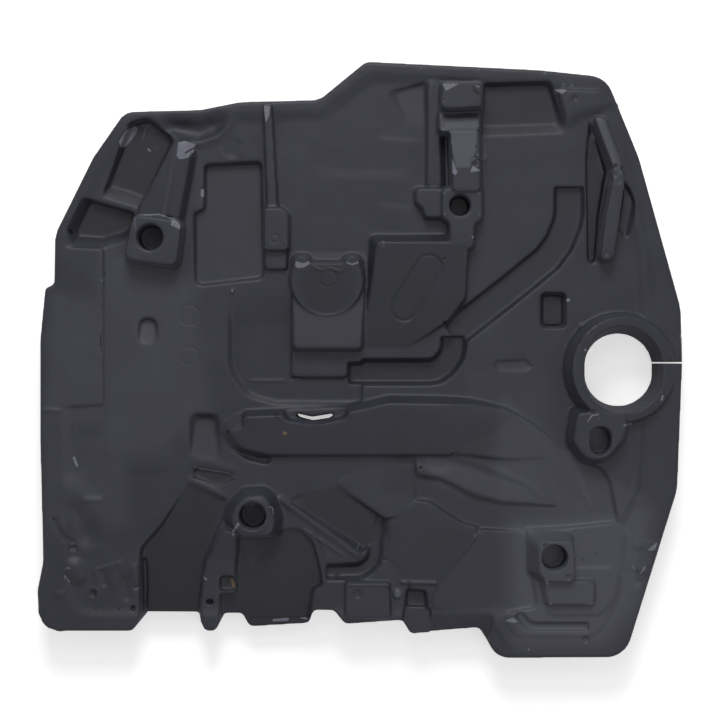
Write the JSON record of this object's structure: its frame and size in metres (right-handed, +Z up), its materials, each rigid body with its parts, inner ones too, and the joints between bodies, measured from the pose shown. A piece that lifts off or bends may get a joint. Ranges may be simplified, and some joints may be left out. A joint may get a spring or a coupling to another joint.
{
  "type": "engine cover",
  "caption": "Moulded dark foam engine cover, engine side up, with stud sockets, runner chutes, hose channels and a collared oval oil filler opening.",
  "frame": {"origin": "middle of the bounding box at its lowest face: under the middle of the cover, on the plane of the outer face it rests on", "axes": "+X towards the side with the oil filler opening, across the cover's width; +Y towards the rear edge, away from the edge with the runner chutes; +Z up out of the engine side, from the outer face to the sockets"},
  "size_m": [0.6473, 0.5982, 0.066],
  "materials": {
    "foam": "matte"
  },
  "bodies": {
    "root": {"cover": "foam"}
  },
  "joints": []
}
